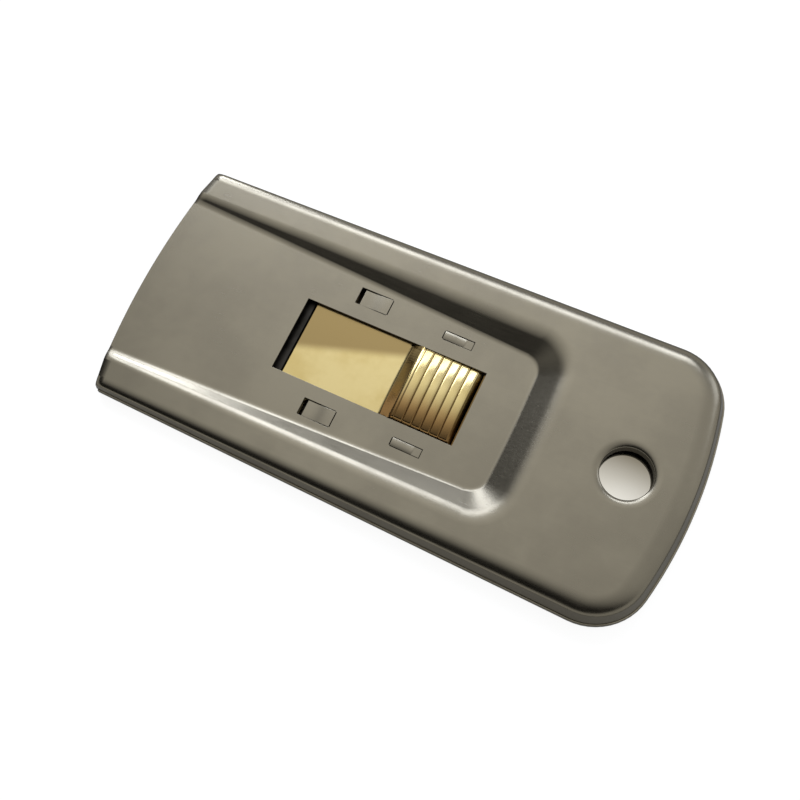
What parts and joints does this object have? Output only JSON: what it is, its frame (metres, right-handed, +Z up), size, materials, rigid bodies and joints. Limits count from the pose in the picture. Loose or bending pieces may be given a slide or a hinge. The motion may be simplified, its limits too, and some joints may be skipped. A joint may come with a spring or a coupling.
{
  "type": "razor blade scraper",
  "caption": "Flat pocket scraper of stamped steel with a sunken panel, a window for a sliding brass thumb hump that pushes a single-edge blade out of the mouth, and a hanging hole.",
  "frame": {"origin": "middle of the flat back, under the centre of the covers", "axes": "+X along the length towards the hanging hole, so the blade comes out along -X; +Z up out of the panel"},
  "size_m": [0.1016, 0.049, 0.0053],
  "materials": {
    "cover_steel": "stamped and tumble polished, satin",
    "back_steel": "stamped and tumble polished, satin",
    "slide_brass": "bright rolled brass",
    "blade_steel": "ground and polished blade steel",
    "spine_steel": "rolled steel, satin"
  },
  "bodies": {
    "covers": {"top_cover": "cover_steel", "back_cover": "back_steel"},
    "slide": {"thumb_slide": "slide_brass", "razor_blade": "blade_steel", "blade_spine": "spine_steel"}
  },
  "joints": [
    {"name": "blade_slide", "type": "slide", "parent": "covers", "child": "slide", "axis": [-1, 0, 0], "range_m": [0, 0.0198]}
  ]
}
